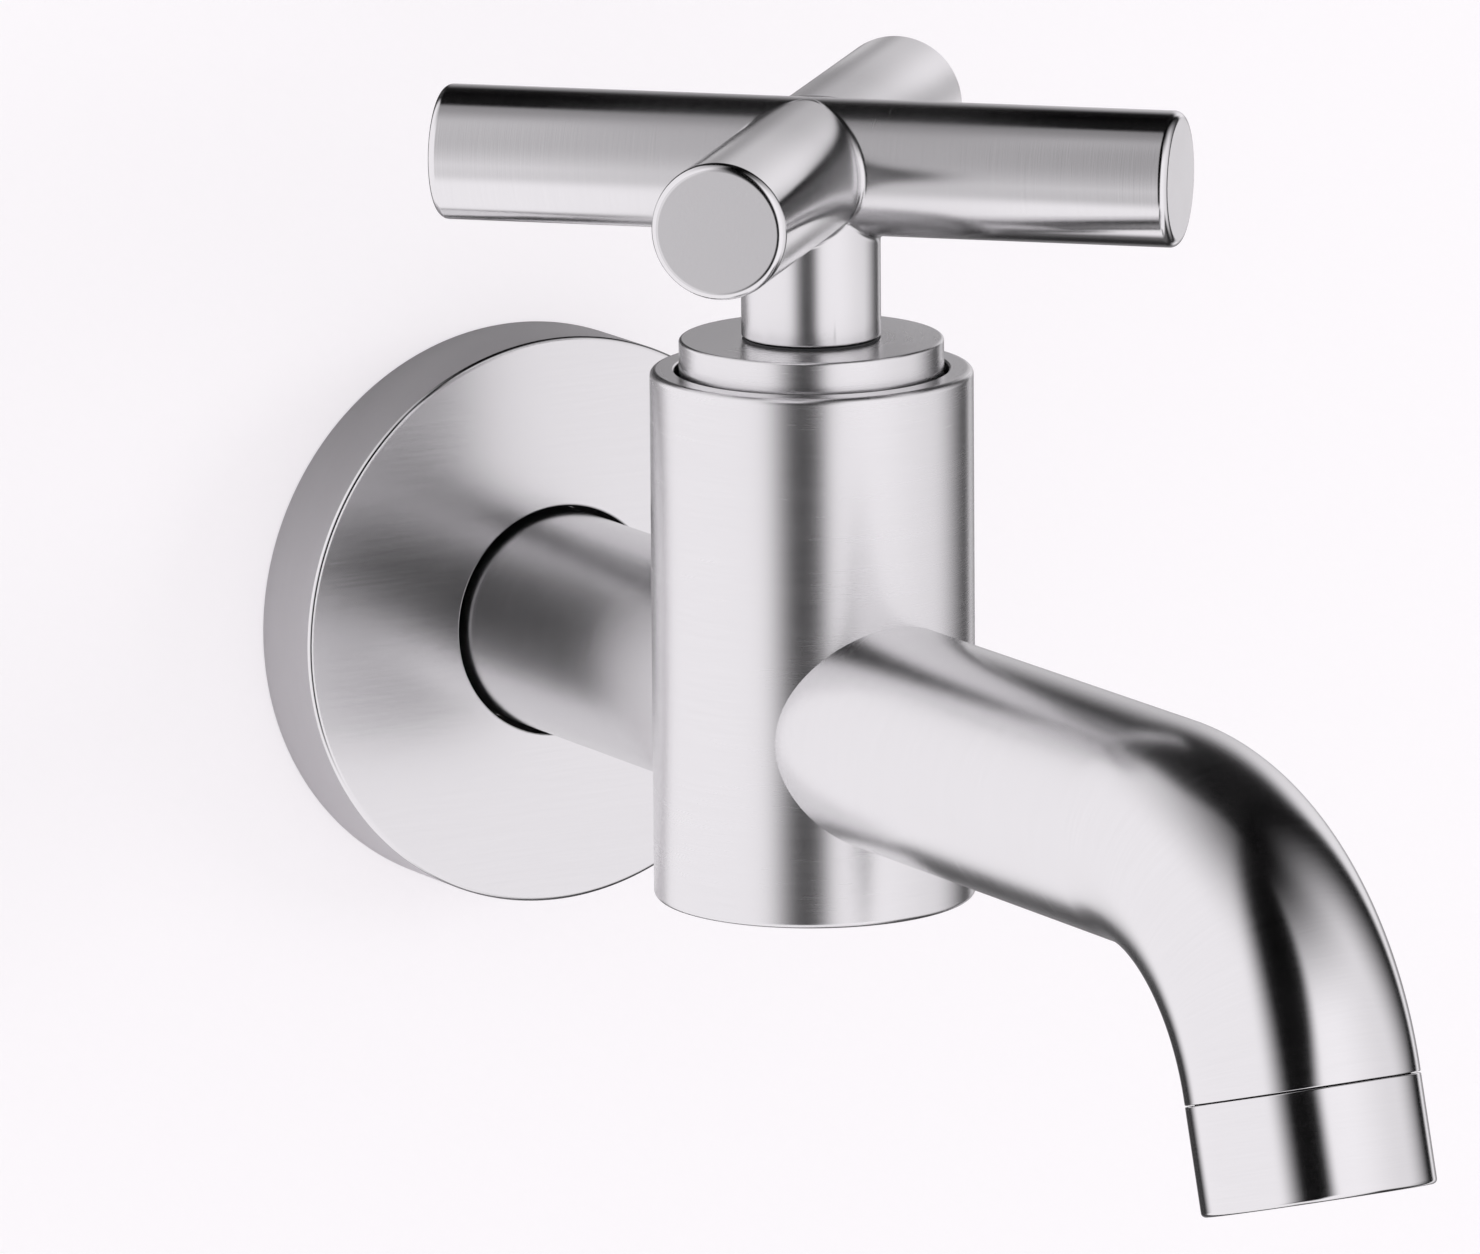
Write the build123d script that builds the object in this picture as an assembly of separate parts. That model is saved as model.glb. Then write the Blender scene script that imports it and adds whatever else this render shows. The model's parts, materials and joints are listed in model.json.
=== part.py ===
from build123d import *
import os
from math import cos, pi, radians, sin

# Wall-mounted tap with a quarter-turn ceramic headwork. Millimetres.
# Origin: where the inlet's centre line meets the wall.
# +Y goes into the wall, +Z is up and the spout points to -Y.
# Heights of the body, headwork and handle are measured from the inlet's centre line.

# Reach
wall_to_body = 64.0
wall_to_bend = 131.9
wall_gap = 1.0

# Tubes
tube_diameter = 24.0
tube_wall = 2.0
bend_radius = 28.4
bend_angle = 74.0
outlet_straight = 0.6

# Clearances
braze_gap = 0.02
thread_gap = 0.02
running_gap = 0.05
water_film = 0.02
seal_gap = 0.15
disc_gap = 0.25

# Body heights
body_top = 36.85
body_bottom = -19.8
mouth_depth = 9.3
seat_top = 2.0

# Headwork bonnet, with a G1/2 thread and a hexagon 22 mm across its flats
barrel_diameter = 18.0
barrel_wall = 1.35
barrel_above_seat = 0.7
barrel_thread_diameter = 20.955
barrel_thread_length = 7.6
hexagon_over_thread = 1.045
hexagon_height = 4.4
hexagon_corner_inset = 0.9
hexagon_corner_drop = 0.6
neck_diameter = 19.0
neck_height = 3.5
gasket_thickness = 1.0
gasket_inset = 0.4
window_rise = 1.0
window_height = 4.5
window_angle = 100.0
window_to_flange = 0.5

# Ceramic discs and seat washer
seat_washer_thickness = 3.0
lower_disc_thickness = 3.0
upper_disc_thickness = 3.5
disc_hub_radius = 1.5
disc_rim = 1.2
disc_window_angle = 80.0
lug_width = 3.0
lug_reach = 0.8
tongue_width = 3.0
tongue_inset = 1.0
tongue_depth = 1.5

# Spindle
journal_diameter = 10.0
flange_thickness = 2.0
thrust_thickness = 0.5
spindle_seal_section = 1.7
spindle_seal_rises = [3.55, 8.55]
circlip_stands = 1.4
circlip_thickness = 0.8
circlip_groove_depth = 0.7
circlip_opening = 4.0
spline_shoulder = 1.0
spline_diameter = 8.0
spline_teeth = 20
spline_tooth_depth = 0.5
spline_tip_share = 0.32
spline_root_share = 0.28
spline_end_gap = 0.5

# Cover collar and glide ring
collar_wall = 1.0
collar_bore_gap = 0.25
collar_above_rim = 3.25
collar_above_gasket = 0.5
collar_edge_radius = 0.35
collar_plate = 1.8
clip_room = 0.8
glide_ring_width = 1.0
glide_ring_thickness = 1.0
glide_ring_stands = 0.2
glide_ring_inset = 0.15

# Body shell round the collar
mouth_gap = 0.55
mouth_wall = 2.55
mouth_chamfer = 0.15
body_rim_radius = 0.7
body_foot_radius = 0.6

# Waterway
chamber_gap = 0.5
annulus_width = 3.0
annulus_above_tube = 1.45
seat_bore = 11.0
seat_ring_height = 1.2
seat_plate = 3.0
socket_floor = 1.4
sump_depth = 1.0
gallery_width = 14.0
gallery_corner = 3.0
front_gallery_rise = 1.0
front_gallery_past_annulus = 1.5

# Inlet nipple, a G1/2 male end
nipple_thread_diameter = 20.955
nipple_thread_reach = 13.0
nipple_chamfer = 1.0
nipple_bore = 15.0
nipple_spigot = 11.0

# Rose
rose_diameter = 62.4
rose_depth = 10.5
rose_wall = 1.8
rose_tube_gap = 0.6
rose_edge_radius = 0.55
rose_boss_wall = 1.65
rose_boss_setback = 2.4
rose_ring_section = 2.3
rose_ring_from_front = 5.4

# Outlet, M22 x 1 aerator
shell_wall = 1.0
shell_lip_wall = 2.2
shell_length = 11.28
shell_edge_radius = 0.5
outlet_joint_gap = 0.12
outlet_joint_chamfer = 0.12
bush_wall = 2.25
bush_step = 0.5
bush_socket_depth = 5.0
bush_thread_length = 4.3
washer_thickness = 1.5
washer_width = 2.2
insert_flange = 1.2
insert_wall = 1.1
insert_recess = 0.5
grille_thickness = 1.2
grille_web = 0.45
grille_rim = 0.35
grille_rings = 3
filter_thickness = 0.6
filter_hole_diameter = 3.0
filter_hole_circle = 5.2
filter_holes = 6

# Handle
bar_diameter = 14.3
bar_half_length = 39.8
arm_length = 39.1
bar_edge_radius = 0.9
bar_above_rim = 21.65
bar_direction = -45.0
stem_diameter = 14.7
stem_gap = 0.3
stem_edge_chamfer = 0.25
stem_roof = 0.35
adaptor_wall = 0.75
adaptor_above_foot = 0.6
grub_above_foot = 6.0
grub_diameter = 4.0
grub_recess = 0.3
grub_key = 2.0
grub_key_depth = 1.5

# Radii worked out from the sizes above
tube_radius = tube_diameter / 2
tube_bore_radius = tube_radius - tube_wall
barrel_radius = barrel_diameter / 2
barrel_bore_radius = barrel_radius - barrel_wall
barrel_thread_radius = barrel_thread_diameter / 2
disc_radius = barrel_bore_radius - disc_gap
journal_radius = journal_diameter / 2
circlip_radius = journal_radius + circlip_stands
neck_radius = neck_diameter / 2
hexagon_across_flats = barrel_thread_diameter + hexagon_over_thread
hexagon_corner_radius = hexagon_across_flats / 2 / cos(pi / 6)
collar_bore_radius = hexagon_corner_radius + collar_bore_gap
collar_radius = collar_bore_radius + collar_wall
mouth_radius = collar_radius + mouth_gap
body_radius = mouth_radius + mouth_wall
chamber_radius = barrel_radius + chamber_gap
annulus_radius = barrel_radius + annulus_width
socket_from_axis = chamber_radius + socket_floor
nipple_thread_radius = nipple_thread_diameter / 2
bush_thread_radius = tube_radius - shell_wall
bush_bore_radius = bush_thread_radius - bush_wall
bush_spigot_radius = tube_bore_radius + bush_step
shell_thread_radius = bush_thread_radius + thread_gap
shell_lip_radius = tube_radius - shell_lip_wall
insert_bore_radius = shell_lip_radius - seal_gap - insert_wall
stem_radius = stem_diameter / 2
glide_ring_radius = stem_radius - glide_ring_inset
spline_radius = spline_diameter / 2
adaptor_radius = spline_radius + running_gap + adaptor_wall
bar_radius = bar_diameter / 2
rose_radius = rose_diameter / 2
rose_ring_radius = tube_radius + running_gap + rose_ring_section

# Heights worked out from the sizes above
barrel_bottom = seat_top + barrel_above_seat
lower_disc_bottom = seat_top + seat_washer_thickness
disc_face = lower_disc_bottom + lower_disc_thickness
upper_disc_top = disc_face + water_film + upper_disc_thickness
window_bottom = upper_disc_top + window_rise
window_top = window_bottom + window_height
flange_bottom = window_top + window_to_flange
flange_top = flange_bottom + flange_thickness
barrel_roof = flange_top + thrust_thickness + running_gap
mouth_floor = body_top - mouth_depth
thread_bottom = mouth_floor - barrel_thread_length
annulus_bottom = tube_radius + annulus_above_tube
hexagon_bottom = mouth_floor + gasket_thickness
neck_bottom = hexagon_bottom + hexagon_height
neck_top = neck_bottom + neck_height
circlip_bottom = neck_top + running_gap
circlip_top = circlip_bottom + circlip_thickness
journal_top = circlip_top + spline_shoulder
collar_top = body_top + collar_above_rim
stem_foot = collar_top + stem_gap
bar_height = body_top + bar_above_rim
stem_bore_top = bar_height - bar_radius - stem_roof
spline_top = stem_bore_top - spline_end_gap

# Distances down the outlet's centre line, from the end of the spout tube
washer_end = bush_thread_length + washer_thickness
shell_shoulder = washer_end + insert_flange
shell_end = outlet_joint_gap + shell_length
insert_end = shell_end - insert_recess

# Placements
body_axis = Location((0, -wall_to_body, 0))
handle_centre = Location((0, -wall_to_body, bar_height))
inlet_axis = Rotation(-90, 0, 0)
bend_start = Vector(0, -wall_to_bend, 0)
bend_centre = bend_start - Vector(0, 0, bend_radius)
bend_end = bend_centre + Vector(0, -sin(radians(bend_angle)), cos(radians(bend_angle))) * bend_radius
outlet_direction = Vector(0, -cos(radians(bend_angle)), -sin(radians(bend_angle)))
outlet_axis = Location(tuple(bend_end + outlet_direction * outlet_straight), (90 + bend_angle, 0, 0))


def turned(*outline):
    """A solid of revolution about Z from (radius, height) corners."""
    half = make_face(Plane.XZ * Polyline(*outline, close=True))
    return revolve(half, Axis.Z, 360)


def rod(radius, low, high):
    """A round bar along Z between two heights."""
    return Pos(0, 0, low) * extrude(Circle(radius), high - low)


def pipe(outer, inner, low, high):
    """A round ring or tube along Z between two heights."""
    return Pos(0, 0, low) * extrude(Circle(outer) - Circle(inner), high - low)


def square_ring(outer, section, height):
    """A rubber ring of square section, centred on a height."""
    return pipe(outer, outer - section, height - section / 2, height + section / 2)


def hexagon(across_flats, low, high):
    """A hexagonal bar along Z between two heights."""
    return Pos(0, 0, low) * extrude(RegularPolygon(across_flats / 2, 6, major_radius=False), high - low)


def sector(inner, outer, angle, low, high):
    """A ring sector centred on +X between two heights."""
    half = radians(angle / 2)
    start = Vector(cos(half), -sin(half))
    end = Vector(cos(half), sin(half))
    middle = Vector(1, 0)
    outline = [
        Line(start * inner, start * outer),
        ThreePointArc(start * outer, middle * outer, end * outer),
        Line(end * outer, end * inner),
        ThreePointArc(end * inner, middle * inner, start * inner),
    ]
    return Pos(0, 0, low) * extrude(make_face(outline), high - low)


def end_edge(solid, end):
    """The outer edge of a rod's lowest (0) or highest (-1) end."""
    return solid.edges().filter_by(GeomType.CIRCLE).sort_by(Axis.Z)[end]


# Body

def gallery(low, high, start, end):
    """A milled gallery with rounded corners, along Y between two distances from the body's axis."""
    section = RectangleRounded(gallery_width, high - low, gallery_corner)
    return Pos(0, end, (low + high) / 2) * extrude(Plane.XZ * section, end - start)


def valve_body():
    blank = rod(body_radius, body_bottom, body_top)
    blank = fillet(end_edge(blank, -1), body_rim_radius)
    blank = fillet(end_edge(blank, 0), body_foot_radius)
    seat_ring_radius = barrel_bore_radius - running_gap
    bore = turned(
        (0, -tube_bore_radius - sump_depth),
        (seat_bore / 2, -tube_bore_radius - sump_depth),
        (seat_bore / 2, seat_top),
        (seat_ring_radius, seat_top),
        (seat_ring_radius, seat_top - seat_ring_height),
        (chamber_radius, seat_top - seat_ring_height),
        (chamber_radius, annulus_bottom),
        (annulus_radius, annulus_bottom),
        (annulus_radius, thread_bottom),
        (barrel_thread_radius + thread_gap, thread_bottom),
        (barrel_thread_radius + thread_gap, mouth_floor),
        (mouth_radius, mouth_floor),
        (mouth_radius, body_top - mouth_chamfer),
        (mouth_radius + mouth_chamfer, body_top),
        (0, body_top),
    )
    socket = rod(tube_radius + braze_gap, socket_from_axis, body_radius * 2)
    sockets = Rotation(-90, 0, 0) * socket + Rotation(90, 0, 0) * socket
    past_floor = socket_from_axis + braze_gap
    rear = gallery(-tube_bore_radius, seat_top - seat_plate, 0, past_floor)
    front_top = annulus_bottom + front_gallery_past_annulus
    front = gallery(seat_top + front_gallery_rise, front_top, -past_floor, -barrel_bore_radius)
    return body_axis * (blank - bore - sockets - rear - front)


def inlet_tube():
    return inlet_axis * pipe(tube_radius, tube_bore_radius, socket_from_axis - wall_to_body, -wall_gap)


def inlet_nipple():
    spigot_radius = tube_bore_radius - braze_gap
    bore_radius = nipple_bore / 2
    return inlet_axis * turned(
        (bore_radius, -wall_gap - nipple_spigot),
        (spigot_radius, -wall_gap - nipple_spigot),
        (spigot_radius, -wall_gap),
        (nipple_thread_radius, -wall_gap),
        (nipple_thread_radius, nipple_thread_reach - nipple_chamfer),
        (nipple_thread_radius - nipple_chamfer, nipple_thread_reach),
        (bore_radius, nipple_thread_reach),
    )


# Spout and aerator

def bent_rod(radius):
    """A round bar along the spout's centre line: straight, bend, short straight."""
    section = Plane.XZ * Circle(radius)
    level_start = -wall_to_body - socket_from_axis
    level = Pos(0, level_start, 0) * extrude(section, wall_to_bend + level_start)
    bend = revolve(Pos(*bend_start) * section, Axis(bend_centre, (1, 0, 0)), bend_angle)
    tail = outlet_axis * rod(radius, -outlet_straight, 0)
    return level + bend + tail


def spout_tube():
    outside = bent_rod(tube_radius)
    outside = chamfer(end_edge(outside, 0), outlet_joint_chamfer)
    bush_socket = outlet_axis * rod(bush_spigot_radius, -bush_socket_depth, 0)
    return outside - bent_rod(tube_bore_radius) - bush_socket


def outlet_bush():
    spigot_radius = bush_spigot_radius - braze_gap
    return outlet_axis * turned(
        (bush_bore_radius, -bush_socket_depth),
        (spigot_radius, -bush_socket_depth),
        (spigot_radius, 0),
        (bush_thread_radius, 0),
        (bush_thread_radius, bush_thread_length),
        (bush_bore_radius, bush_thread_length),
    )


def aerator_shell():
    outside = rod(tube_radius, outlet_joint_gap, shell_end)
    outside = chamfer(end_edge(outside, 0), outlet_joint_chamfer)
    outside = fillet(end_edge(outside, -1), shell_edge_radius)
    thread_bore = rod(shell_thread_radius, outlet_joint_gap, shell_shoulder)
    lip_bore = rod(shell_lip_radius, shell_shoulder, shell_end)
    return outlet_axis * (outside - thread_bore - lip_bore)


def aerator_washer():
    outer = shell_thread_radius - seal_gap
    return outlet_axis * pipe(outer, outer - washer_width, bush_thread_length, washer_end)


def aerator_insert():
    flange = pipe(shell_thread_radius - seal_gap, insert_bore_radius, washer_end, shell_shoulder)
    cup = pipe(shell_lip_radius - seal_gap, insert_bore_radius, shell_shoulder, insert_end)
    return outlet_axis * (flange + cup)


def aerator_filter():
    """A perforated disc that sits in the mouth of the insert."""
    hole = Circle(filter_hole_diameter / 2)
    disc = Circle(insert_bore_radius - braze_gap) - hole
    disc -= PolarLocations(filter_hole_circle, filter_holes) * hole
    return outlet_axis * Pos(0, 0, washer_end) * extrude(disc, filter_thickness)


def aerator_grille():
    """A round plate with a honeycomb of jets, in rings round the middle one."""
    pitch = (insert_bore_radius - grille_rim) / (grille_rings + 0.5)
    jet = Rotation(0, 0, 90) * RegularPolygon((pitch - grille_web) / 2, 6, major_radius=False)
    plate = Circle(insert_bore_radius - braze_gap)
    for row in range(-grille_rings, grille_rings + 1):
        jets_in_row = 2 * grille_rings + 1 - abs(row)
        for column in range(jets_in_row):
            across = (column - (jets_in_row - 1) / 2) * pitch
            plate -= Pos(across, row * pitch * cos(pi / 6)) * jet
    return outlet_axis * Pos(0, 0, insert_end - grille_thickness) * extrude(plate, grille_thickness)


# Headwork

def headwork_body():
    outside = rod(barrel_radius, barrel_bottom, hexagon_bottom)
    outside += rod(barrel_thread_radius, thread_bottom + thread_gap, hexagon_bottom)
    outside += hexagon(hexagon_across_flats, hexagon_bottom, neck_bottom) & turned(
        (0, hexagon_bottom),
        (hexagon_corner_radius, hexagon_bottom),
        (hexagon_corner_radius, neck_bottom - hexagon_corner_drop),
        (hexagon_corner_radius - hexagon_corner_inset, neck_bottom),
        (0, neck_bottom),
    )
    outside += rod(neck_radius, neck_bottom, neck_top)
    inside = turned(
        (0, barrel_bottom),
        (barrel_bore_radius, barrel_bottom),
        (barrel_bore_radius, barrel_roof),
        (journal_radius + running_gap, barrel_roof),
        (journal_radius + running_gap, neck_top),
        (0, neck_top),
    )
    inner = barrel_bore_radius - running_gap
    outer = barrel_radius + running_gap
    window = sector(inner, outer, window_angle, window_bottom, window_top)
    windows = Rotation(0, 0, 90) * window + Rotation(0, 0, -90) * window
    return body_axis * (outside - inside - windows - lugs(running_gap, barrel_bottom, disc_face))


def lugs(gap, low, high):
    """A bar across the barrel whose ends are the fixed disc's two lugs, with a gap all round."""
    reach = disc_radius + lug_reach + gap
    return Pos(0, 0, low) * extrude(Rectangle(2 * reach, lug_width + 2 * gap), high - low)


def headwork_seal():
    outer = hexagon_corner_radius - gasket_inset
    return body_axis * pipe(outer, barrel_thread_radius + thread_gap, mouth_floor, hexagon_bottom)


def seat_washer():
    return body_axis * pipe(barrel_bore_radius - seal_gap, seat_bore / 2, seat_top, lower_disc_bottom)


def butterfly(low, high):
    """Two facing openings, left and right, as the ceramic discs have."""
    wing = sector(disc_hub_radius, disc_radius - disc_rim, disc_window_angle, low, high)
    return wing + Rotation(0, 0, 180) * wing


def lower_disc():
    disc = rod(disc_radius, lower_disc_bottom, disc_face) + lugs(0, lower_disc_bottom, disc_face)
    return body_axis * (disc - Rotation(0, 0, 90) * butterfly(lower_disc_bottom, disc_face))


def tongue(gap, length, high):
    """The spindle's driving tongue, along Y, from its seat in the upper disc to a height."""
    low = upper_disc_top - tongue_depth - gap
    return Pos(0, 0, low) * extrude(Rectangle(tongue_width + 2 * gap, length), high - low)


def upper_disc():
    bottom = disc_face + water_film
    disc = rod(disc_radius, bottom, upper_disc_top)
    slot = tongue(water_film, 2 * disc_radius, upper_disc_top)
    return body_axis * (disc - butterfly(bottom, upper_disc_top) - slot)


# Spindle

def spline(gap, low, high):
    """A round bar with straight-sided teeth, larger all round by a gap."""
    tip = spline_radius + gap
    root = tip - spline_tooth_depth
    step = 2 * pi / spline_teeth
    half_tip = spline_tip_share / 2
    half_root = (1 - spline_root_share) / 2
    corners = []
    for tooth in range(spline_teeth):
        for share, radius in ((-half_root, root), (-half_tip, tip), (half_tip, tip), (half_root, root)):
            angle = (tooth + share) * step
            corners.append((radius * cos(angle), radius * sin(angle)))
    return Pos(0, 0, low) * extrude(make_face(Polyline(*corners, close=True)), high - low)


def spindle():
    shaft = rod(journal_radius, flange_top, journal_top)
    seal_floor = journal_radius - spindle_seal_section
    half_groove = spindle_seal_section / 2 + running_gap
    for rise in spindle_seal_rises:
        middle = barrel_roof + rise
        shaft -= pipe(journal_diameter, seal_floor, middle - half_groove, middle + half_groove)
    clip_floor = journal_radius - circlip_groove_depth
    shaft -= pipe(journal_diameter, clip_floor, circlip_bottom - running_gap, circlip_top + running_gap)
    flange = rod(disc_radius, flange_bottom, flange_top)
    drive = tongue(0, 2 * (disc_radius - tongue_inset), flange_bottom)
    return body_axis * (drive + flange + shaft + spline(0, journal_top, spline_top))


def thrust_washer():
    bore_radius = journal_radius + seal_gap
    return body_axis * pipe(disc_radius, bore_radius, flange_top, flange_top + thrust_thickness)


def spindle_seals():
    outer = journal_radius + water_film
    rings = [square_ring(outer, spindle_seal_section, barrel_roof + rise) for rise in spindle_seal_rises]
    return body_axis * Compound(children=rings)


def circlip():
    bore = journal_radius - circlip_groove_depth + water_film
    clip = pipe(circlip_radius, bore, circlip_bottom, circlip_top)
    opening = Pos(0, circlip_radius, 0) * Rectangle(circlip_opening, 2 * circlip_radius)
    return body_axis * (clip - Pos(0, 0, circlip_bottom) * extrude(opening, circlip_thickness))


# Cover collar

def cover_collar():
    skirt_foot = hexagon_bottom + collar_above_gasket
    cover = fillet(end_edge(rod(collar_radius, skirt_foot, collar_top), -1), collar_edge_radius)
    over_hexagon = neck_bottom + seal_gap
    over_neck = neck_top + seal_gap
    plate_bottom = collar_top - collar_plate
    ring_seat = collar_top + glide_ring_stands - glide_ring_thickness
    inside = turned(
        (0, skirt_foot),
        (collar_bore_radius, skirt_foot),
        (collar_bore_radius, over_hexagon),
        (neck_radius + thread_gap, over_hexagon),
        (neck_radius + thread_gap, over_neck),
        (circlip_radius + clip_room, over_neck),
        (circlip_radius + clip_room, plate_bottom),
        (glide_ring_radius - glide_ring_width, plate_bottom),
        (glide_ring_radius - glide_ring_width, ring_seat),
        (glide_ring_radius + braze_gap, ring_seat),
        (glide_ring_radius + braze_gap, collar_top),
        (0, collar_top),
    )
    return body_axis * (cover - inside)


def glide_ring():
    top = collar_top + glide_ring_stands
    inner = glide_ring_radius - glide_ring_width
    return body_axis * pipe(glide_ring_radius, inner, top - glide_ring_thickness, top)


# Handle

def cross_rod(turn, start, end):
    """A plain handle rod through the cross's centre, turned from the cross bar's direction."""
    return Rotation(0, 0, bar_direction + turn) * Rotation(0, 90, 0) * rod(bar_radius, start, end)


def round_ends(rod_solid, reach):
    """Rounds the rim of each end that lies as far out as the bars reach."""
    circles = rod_solid.edges().filter_by(GeomType.CIRCLE)
    return fillet([rim for rim in circles if rim.center().length > reach / 2], bar_edge_radius)


def cross_bar():
    return handle_centre * round_ends(cross_rod(0, -bar_half_length, bar_half_length), bar_half_length)


def side_arm(turn):
    """An arm with a saddle end that fits round the cross bar."""
    arm = round_ends(cross_rod(turn, 0, arm_length), arm_length)
    return handle_centre * (arm - cross_rod(0, -bar_half_length, bar_half_length))


def grub_hole():
    """The radial hole for the set screw, through the back of the stem and the adaptor."""
    hole = rod(grub_diameter / 2 + thread_gap, 0, stem_diameter)
    return Pos(0, 0, stem_foot + grub_above_foot) * inlet_axis * hole


def handle_stem():
    stem = chamfer(end_edge(rod(stem_radius, stem_foot, bar_height), 0), stem_edge_chamfer)
    for turn in (0, 90):
        stem -= Pos(0, 0, bar_height) * cross_rod(turn, -arm_length, arm_length)
    stem -= rod(adaptor_radius + braze_gap, stem_foot, stem_bore_top)
    return body_axis * (stem - grub_hole())


def spline_adaptor():
    low = stem_foot + adaptor_above_foot
    toothed_bore = spline(running_gap, low, stem_bore_top)
    return body_axis * (rod(adaptor_radius, low, stem_bore_top) - toothed_bore - grub_hole())


def grub_screw():
    tip = spline_radius + running_gap
    head = stem_radius - grub_recess
    screw = rod(grub_diameter / 2, tip, head) - hexagon(grub_key, head - grub_key_depth, head)
    return body_axis * Pos(0, 0, stem_foot + grub_above_foot) * inlet_axis * screw


# Rose

def rose():
    blank = fillet(end_edge(rod(rose_radius, -rose_depth, 0), 0), rose_edge_radius)
    bore_radius = tube_radius + rose_tube_gap
    boss_radius = rose_ring_radius + rose_boss_wall
    inner_radius = rose_radius - rose_wall
    hollow = pipe(inner_radius, boss_radius, rose_wall - rose_depth, 0)
    setback = pipe(inner_radius, bore_radius, -rose_boss_setback, 0)
    bore = rod(bore_radius, -rose_depth, 0)
    middle = rose_ring_from_front - rose_depth
    half_groove = rose_ring_section / 2 + running_gap
    groove = pipe(rose_ring_radius, tube_radius, middle - half_groove, middle + half_groove)
    return inlet_axis * (blank - hollow - setback - bore - groove)


def rose_ring():
    return inlet_axis * square_ring(rose_ring_radius, rose_ring_section, rose_ring_from_front - rose_depth)


pieces = {
    "valve_body": valve_body(),
    "inlet_tube": inlet_tube(),
    "inlet_nipple": inlet_nipple(),
    "spout_tube": spout_tube(),
    "outlet_bush": outlet_bush(),
    "aerator_shell": aerator_shell(),
    "aerator_washer": aerator_washer(),
    "aerator_insert": aerator_insert(),
    "aerator_filter": aerator_filter(),
    "aerator_grille": aerator_grille(),
    "headwork_body": headwork_body(),
    "headwork_seal": headwork_seal(),
    "seat_washer": seat_washer(),
    "lower_disc": lower_disc(),
    "upper_disc": upper_disc(),
    "spindle": spindle(),
    "thrust_washer": thrust_washer(),
    "spindle_seals": spindle_seals(),
    "circlip": circlip(),
    "cover_collar": cover_collar(),
    "glide_ring": glide_ring(),
    "cross_bar": cross_bar(),
    "front_arm": side_arm(-90),
    "rear_arm": side_arm(90),
    "handle_stem": handle_stem(),
    "spline_adaptor": spline_adaptor(),
    "grub_screw": grub_screw(),
    "rose": rose(),
    "rose_ring": rose_ring(),
}

os.makedirs("parts", exist_ok=True)
for name, piece in pieces.items():
    export_step(piece, f"parts/{name}.step")
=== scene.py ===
import json
import math

import bmesh
import bpy
from mathutils import Matrix, Vector


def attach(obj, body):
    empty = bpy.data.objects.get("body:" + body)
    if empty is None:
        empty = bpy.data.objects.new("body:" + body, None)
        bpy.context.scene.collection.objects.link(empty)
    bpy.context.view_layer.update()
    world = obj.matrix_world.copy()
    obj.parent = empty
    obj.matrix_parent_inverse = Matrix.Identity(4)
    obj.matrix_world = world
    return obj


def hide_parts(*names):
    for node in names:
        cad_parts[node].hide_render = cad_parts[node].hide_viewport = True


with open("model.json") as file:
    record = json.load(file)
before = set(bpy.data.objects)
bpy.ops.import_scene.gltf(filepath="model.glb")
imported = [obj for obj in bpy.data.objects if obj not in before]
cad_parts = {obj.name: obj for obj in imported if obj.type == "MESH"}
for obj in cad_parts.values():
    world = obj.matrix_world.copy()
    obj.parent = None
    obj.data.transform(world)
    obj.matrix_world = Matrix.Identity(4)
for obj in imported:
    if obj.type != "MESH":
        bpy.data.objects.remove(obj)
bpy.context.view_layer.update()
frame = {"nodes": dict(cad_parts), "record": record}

cadNodes = frame["nodes"]
scene = bpy.context.scene
millimetre = 0.001
print("frame loaded with", len(cadNodes), "nodes")


# Sizes in millimetres that several pieces share, in the frame of the CAD model

tube = {"radius": 12.0, "bore": 10.0, "axisToBody": 64.0}
handle = {
    "height": 58.5, "bar": 7.15, "reach": 39.8, "arm": 39.1, "rounding": 0.9, "turn": -45.0,
    "armRings": (2.4, 4.8), "stem": 7.35, "seam": 0.16,
}


# Shader and geometry nodes

class Value:
    # A node socket that takes part in Python expressions

    def __init__(self, tree, socket):
        self.tree = tree
        self.socket = socket

    def maths(self, operation, *others):
        values = dict(enumerate((self,) + others))
        return self.tree.add("ShaderNodeMath", {"operation": operation}, values)

    def __add__(self, other):
        return self.maths("ADD", other)

    def __radd__(self, other):
        return self.maths("ADD", other)

    def __sub__(self, other):
        return self.maths("SUBTRACT", other)

    def __rsub__(self, other):
        return self.tree.add("ShaderNodeMath", {"operation": "SUBTRACT"}, {0: other, 1: self})

    def __mul__(self, other):
        return self.maths("MULTIPLY", other)


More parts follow.
